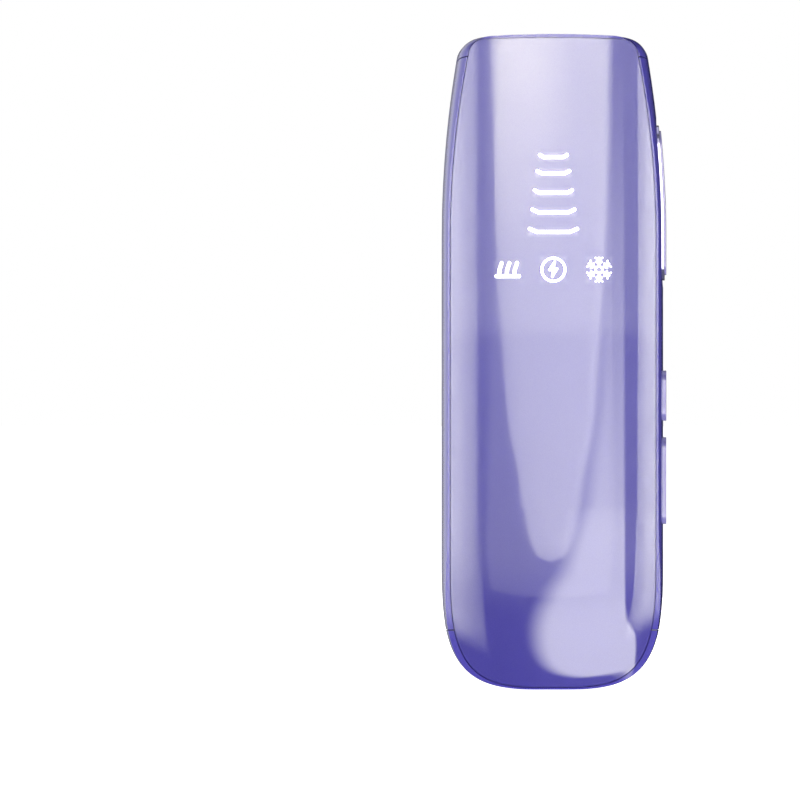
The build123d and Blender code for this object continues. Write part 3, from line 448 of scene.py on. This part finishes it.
rimLooks = {
    "triggerKey": {"node": "trigger_button", "slot": "button", "rim": 0.32 * mm},
    "powerKey": {"node": "power_button", "slot": "button", "rim": 0.30 * mm},
    "levelKey": {"node": "level_button", "slot": "button", "rim": 0.30 * mm},
    "triggerFrame": {"node": "trigger_ring", "slot": "bright_ring", "rim": 0.14 * mm},
    "windowSurround": {"node": "window_bezel", "slot": "bezel", "rim": 0.14 * mm},
}
# angles in degrees
rimCut = {"merge": 0.004 * mm, "flat": 0.4, "corner": 50.0, "segments": 3, "smooth": 35.0}
bodyOf = {}
for bodyName, members in frame["record"]["behaviour"]["bodies"].items():
    for member in members:
        bodyOf[member] = bodyName


# a copy of a CAD node with its doubles merged and its rims rounded
def softened(name, look):
    deselectAll()
    source = nodes[look["node"]]
    source.select_set(True)
    bpy.context.view_layer.objects.active = source
    bpy.ops.object.duplicate()
    piece = bpy.context.active_object
    piece.name = name
    piece.data.name = name
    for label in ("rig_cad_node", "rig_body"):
        del piece[label]
    piece.parent = None
    bpy.ops.object.mode_set(mode="EDIT")
    bpy.ops.mesh.select_all(action="SELECT")
    bpy.ops.mesh.remove_doubles(threshold=rimCut["merge"])
    bpy.ops.mesh.dissolve_limited(angle_limit=math.radians(rimCut["flat"]))
    bpy.ops.mesh.normals_make_consistent(inside=False)
    bpy.ops.object.mode_set(mode="OBJECT")
    rim = piece.modifiers.new("softRim", "BEVEL")
    rim.width = look["rim"]
    rim.segments = rimCut["segments"]
    rim.limit_method = "ANGLE"
    rim.angle_limit = math.radians(rimCut["corner"])
    rim.use_clamp_overlap = True
    bpy.ops.object.modifier_apply(modifier=rim.name)
    bpy.ops.object.shade_smooth_by_angle(angle=math.radians(rimCut["smooth"]))
    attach(piece, bodyOf[look["node"]])
    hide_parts(look["node"])


for pieceName, look in rimLooks.items():
    softened(pieceName, look)
print("softened rims on", len(rimLooks), "pieces")


# studio

studio = {"cameraDistance": 3.0, "viewWidth": 0.219, "aimX": -0.0420, "aimZ": 0.0797, "cardDistance": 0.5,
          "cardStep": 0.004, "cardHalf": 0.8, "warmTint": (1.0, 0.985, 0.86), "glowTint": (1.0, 0.95, 0.62),
          "airTone": (0.20, 0.20, 0.22, 1.0), "backdrop": (1.0, 1.0, 1.0, 1.0), "floorSize": 60.0,
          "floorTone": (0.93, 0.93, 0.94), "floorGlow": 1.0}


# the edge of a card, as distances across for given heights
def outlineCurve(tree, height, points):
    curve = tree.nodes.new("ShaderNodeFloatCurve")
    mapping = curve.mapping
    line = mapping.curves[0]
    half = studio["cardHalf"]
    spots = sorted(((z + half) / (2 * half), (x + half) / (2 * half)) for z, x in points)
    line.points[0].location = spots[0]
    line.points[1].location = spots[-1]
    for spot in spots[1:-1]:
        line.points.new(*spot)
    mapping.update()
    tree.links.new(ramp(tree, height, -half, half, smooth=False), curve.inputs["Value"])
    return ramp(tree, curve.outputs[0], 0.0, 1.0, -half, half, smooth=False)


def hideCard(card):
    card.visible_camera = False
    card.visible_diffuse = False
    card.visible_shadow = False


# a clear sheet in front of the handset that only the glossy surfaces see
def softCard(name, look):
    deselectAll()
    away = -studio["cardDistance"] - studio["cardStep"] * look["step"]
    bpy.ops.mesh.primitive_plane_add(size=2 * studio["cardHalf"], location=(0, away, 0),
                                     rotation=(math.radians(90), 0, 0))
    card = bpy.context.active_object
    card.name = name
    material = bpy.data.materials.new(name + "Light")
    material.use_nodes = True
    tree = material.node_tree
    tree.nodes.clear()
    across, height = axesOf(tree, objectPlace(tree))[:2]
    leftFade, rightFade, lowFade, highFade = look["fades"]
    lowEnd, highEnd = look["reach"]
    fromLeft = calc(tree, "SUBTRACT", across, outlineCurve(tree, height, look["left"]))
    fromRight = calc(tree, "SUBTRACT", outlineCurve(tree, height, look["right"]), across)
    masks = [ramp(tree, fromLeft, 0.0, leftFade), ramp(tree, fromRight, 0.0, rightFade),
             ramp(tree, height, lowEnd, lowEnd + lowFade),
             ramp(tree, height, highEnd - highFade, highEnd, 1.0, 0.0)]
    if "acrossShade" in look:
        masks.append(ramp(tree, across, *look["acrossShade"], smooth=False))
    if "heightShade" in look:
        masks.append(ramp(tree, height, *look["heightShade"]))
    mask = masks[0]
    for part in masks[1:]:
        mask = calc(tree, "MULTIPLY", mask, part)
    emission = tree.nodes.new("ShaderNodeEmission")
    emission.inputs["Color"].default_value = (*look.get("tint", studio["warmTint"]), 1.0)
    tree.links.new(calc(tree, "MULTIPLY", mask, look["strength"]), emission.inputs["Strength"])
    clear = tree.nodes.new("ShaderNodeBsdfTransparent")
    both = tree.nodes.new("ShaderNodeAddShader")
    tree.links.new(emission.outputs[0], both.inputs[0])
    tree.links.new(clear.outputs[0], both.inputs[1])
    output = tree.nodes.new("ShaderNodeOutputMaterial")
    tree.links.new(both.outputs[0], output.inputs["Surface"])
    card.data.materials.append(material)
    hideCard(card)


# a plain card beside, behind or above the handset, fading towards its edges
def sideCard(name, look):
    deselectAll()
    size = look["size"]
    bpy.ops.mesh.primitive_plane_add(size=size, location=look["place"],
                                     rotation=(math.radians(look["turn"]), 0, 0))
    card = bpy.context.active_object
    card.name = name
    material = bpy.data.materials.new(name + "Light")
    material.use_nodes = True
    tree = material.node_tree
    tree.nodes.clear()
    emission = tree.nodes.new("ShaderNodeEmission")
    spots = axesOf(tree, objectPlace(tree))
    wide, tall = [ramp(tree, calc(tree, "ABSOLUTE", spot), size / 4, size / 2, 1.0, 0.0)
                  for spot in spots[:2]]
    tree.links.new(calc(tree, "MULTIPLY", calc(tree, "MULTIPLY", wide, tall), look["strength"]),
                   emission.inputs["Strength"])
    output = tree.nodes.new("ShaderNodeOutputMaterial")
    tree.links.new(emission.outputs[0], output.inputs["Surface"])
    card.data.materials.append(material)
    hideCard(card)


def straight(x):
    return [(-studio["cardHalf"], x), (studio["cardHalf"], x)]


def mirrored(points, left, right):
    return {"left": [(z, -x - left) for z, x in points], "right": [(z, x + right) for z, x in points]}


# outlines as (height, distance across), in metres on the cards
tongueHalf = [(-0.8, 0.0), (-0.092, 0.0), (-0.085, 0.045), (-0.07, 0.07), (-0.045, 0.088), (0.0, 0.108),
              (0.0475, 0.13), (0.073, 0.188), (0.111, 0.23), (0.16, 0.262), (0.8, 0.28)]
swooshLeft = [(-0.8, 0.5), (-0.62, 0.42), (-0.57, 0.28), (-0.53, 0.06), (-0.48, -0.07), (-0.42, -0.12),
              (-0.34, -0.14), (-0.27, -0.13), (-0.19, -0.08), (-0.108, -0.01), (-0.01, 0.035),
              (0.0545, 0.085), (0.0858, 0.13), (0.8, 0.2)]
swooshRight = [(-0.8, 0.58), (-0.42, 0.53), (-0.36, 0.465), (-0.30, 0.42), (-0.19, 0.385), (0.0, 0.36),
               (0.8, 0.36)]

# fades are left, right, low and high; a shade is where it starts and ends, and how strong it is at both
cards = {
    "tongueCard": {**mirrored(tongueHalf, 0.012, 0.012), "reach": (-0.3, 0.33),
                   "fades": (0.03, 0.05, 0.012, 0.08), "strength": 2.35,
                   "acrossShade": (-0.2, 0.1, 0.9, 1.0), "step": 0},
    "tongueVeil": {**mirrored(tongueHalf, 0.07, 0.03), "reach": (-0.14, 0.33),
                   "fades": (0.16, 0.06, 0.10, 0.08), "strength": 1.3,
                   "acrossShade": (-0.2, 0.1, 0.9, 1.0), "step": 8},
    "topGlow": {"left": straight(-0.30), "right": straight(0.285), "reach": (0.105, 0.33),
                "fades": (0.07, 0.06, 0.12, 0.08), "strength": 4.4, "acrossShade": (-0.06, 0.10, 1.0, 0.34),
                "tint": studio["glowTint"], "step": 7},
    "swooshCard": {"left": swooshLeft, "right": swooshRight, "reach": (-0.9, 0.22),
                   "fades": (0.14, 0.03, 0.05, 0.24), "strength": 6.0,
                   "heightShade": (-0.3, -0.12, 1.0, 0.80), "step": 1},
    "outerCard": {"left": straight(-0.32), "right": straight(0.30), "reach": (-0.2, 0.33),
                  "fades": (0.05, 0.03, 0.012, 0.08), "strength": 0.6, "step": 2},
    "leftStrip": {"left": straight(-0.8), "right": straight(-0.335), "reach": (-0.50, 0.40),
                  "fades": (0.02, 0.05, 0.16, 0.1), "strength": 6.6, "acrossShade": (-0.60, -0.38, 1.0, 0.36),
                  "heightShade": (-0.3, 0.08, 0.62, 1.0), "step": 3},
    "rightStrip": {"left": straight(0.432), "right": straight(0.8), "reach": (-0.45, 0.40),
                   "fades": (0.010, 0.02, 0.14, 0.1), "strength": 6.0, "acrossShade": (0.43, 0.56, 0.42, 1.0),
                   "heightShade": (-0.3, 0.05, 0.8, 1.0), "step": 4},
    "upperBand": {"left": straight(-0.8), "right": straight(0.8), "reach": (0.0986, 0.40),
                  "fades": (0.02, 0.02, 0.006, 0.1), "strength": 0.75, "step": 5},
    "broadCard": {"left": straight(-0.8), "right": straight(0.8), "reach": (-0.30, 0.75),
                  "fades": (0.05, 0.05, 0.24, 0.1), "strength": 0.7, "acrossShade": (-0.45, 0.45, 1.0, 1.25),
                  "step": 6},
}
for name, look in cards.items():
    softCard(name, look)
farCards = {
    "rearLeftCard": {"place": (-0.75, 0.9, 0.12), "size": 1.5, "turn": 90, "strength": 0.75},
    "rearRightFlag": {"place": (0.75, 0.9, 0.12), "size": 1.4, "turn": 90, "strength": 0.03},
    "topCard": {"place": (0.0, 0.3, 0.9), "size": 1.4, "turn": 180, "strength": 0.8},
}
for name, look in farCards.items():
    sideCard(name, look)
print("cards placed")

lamps = {
    "keyLight": {"place": (-0.9, -1.4, 1.0), "side": 1.2, "power": 3.0},
    "fillLight": {"place": (1.1, -1.2, 0.5), "side": 1.0, "power": 1.6},
    "leftLight": {"place": (-1.5, 0.8, 0.3), "side": 0.8, "power": 8.0},
    "rightLight": {"place": (1.5, 0.8, 0.3), "side": 0.8, "power": 6.0},
    "topLight": {"place": (0.0, 0.2, 1.6), "side": 2.0, "power": 5.0},
    "backLight": {"place": (0.2, 1.6, 0.9), "side": 1.2, "power": 8.0},
}
middle = Vector((0.0, 0.0, cadBox[1][2] / 2))
for name, look in lamps.items():
    light = bpy.data.lights.new(name, "AREA")
    light.shape = "RECTANGLE"
    light.size = light.size_y = look["side"]
    light.energy = look["power"]
    lamp = bpy.data.objects.new(name, light)
    bpy.context.scene.collection.objects.link(lamp)
    lamp.location = look["place"]
    lamp.rotation_euler = (middle - lamp.location).to_track_quat("-Z", "Y").to_euler()
    lamp.visible_glossy = False

world = bpy.data.worlds.new("studioAir")
bpy.context.scene.world = world
world.use_nodes = True
worldTree = world.node_tree
background = worldTree.nodes["Background"]
path = worldTree.nodes.new("ShaderNodeLightPath")
tone = mixColours(worldTree, path.outputs["Is Camera Ray"], studio["airTone"], studio["backdrop"])
worldTree.links.new(tone, background.inputs["Color"])

deselectAll()
bpy.ops.mesh.primitive_plane_add(size=studio["floorSize"], location=(0, 0, cadBox[0][2]))
floor = bpy.context.active_object
floor.name = "studioFloor"
floorMaterial, floorTree, floorShader = newMaterial("paleFloor", studio["floorTone"], 0.6)
floorShader.inputs["Emission Color"].default_value = studio["backdrop"]
floorShader.inputs["Emission Strength"].default_value = studio["floorGlow"]
floor.data.materials.append(floorMaterial)
floor.visible_glossy = False

cameraData = bpy.data.cameras.new("productCamera")
camera = bpy.data.objects.new("productCamera", cameraData)
bpy.context.scene.collection.objects.link(camera)
camera.location = (studio["aimX"], cadBox[0][1] - studio["cameraDistance"], studio["aimZ"])
camera.rotation_euler = (math.radians(90), 0, 0)
cameraData.sensor_width = 36.0
cameraData.lens = 36.0 * studio["cameraDistance"] / studio["viewWidth"]
cameraData.clip_end = 50.0
bpy.context.scene.camera = camera
bpy.context.scene.view_settings.view_transform = "Standard"
print("studio lit")
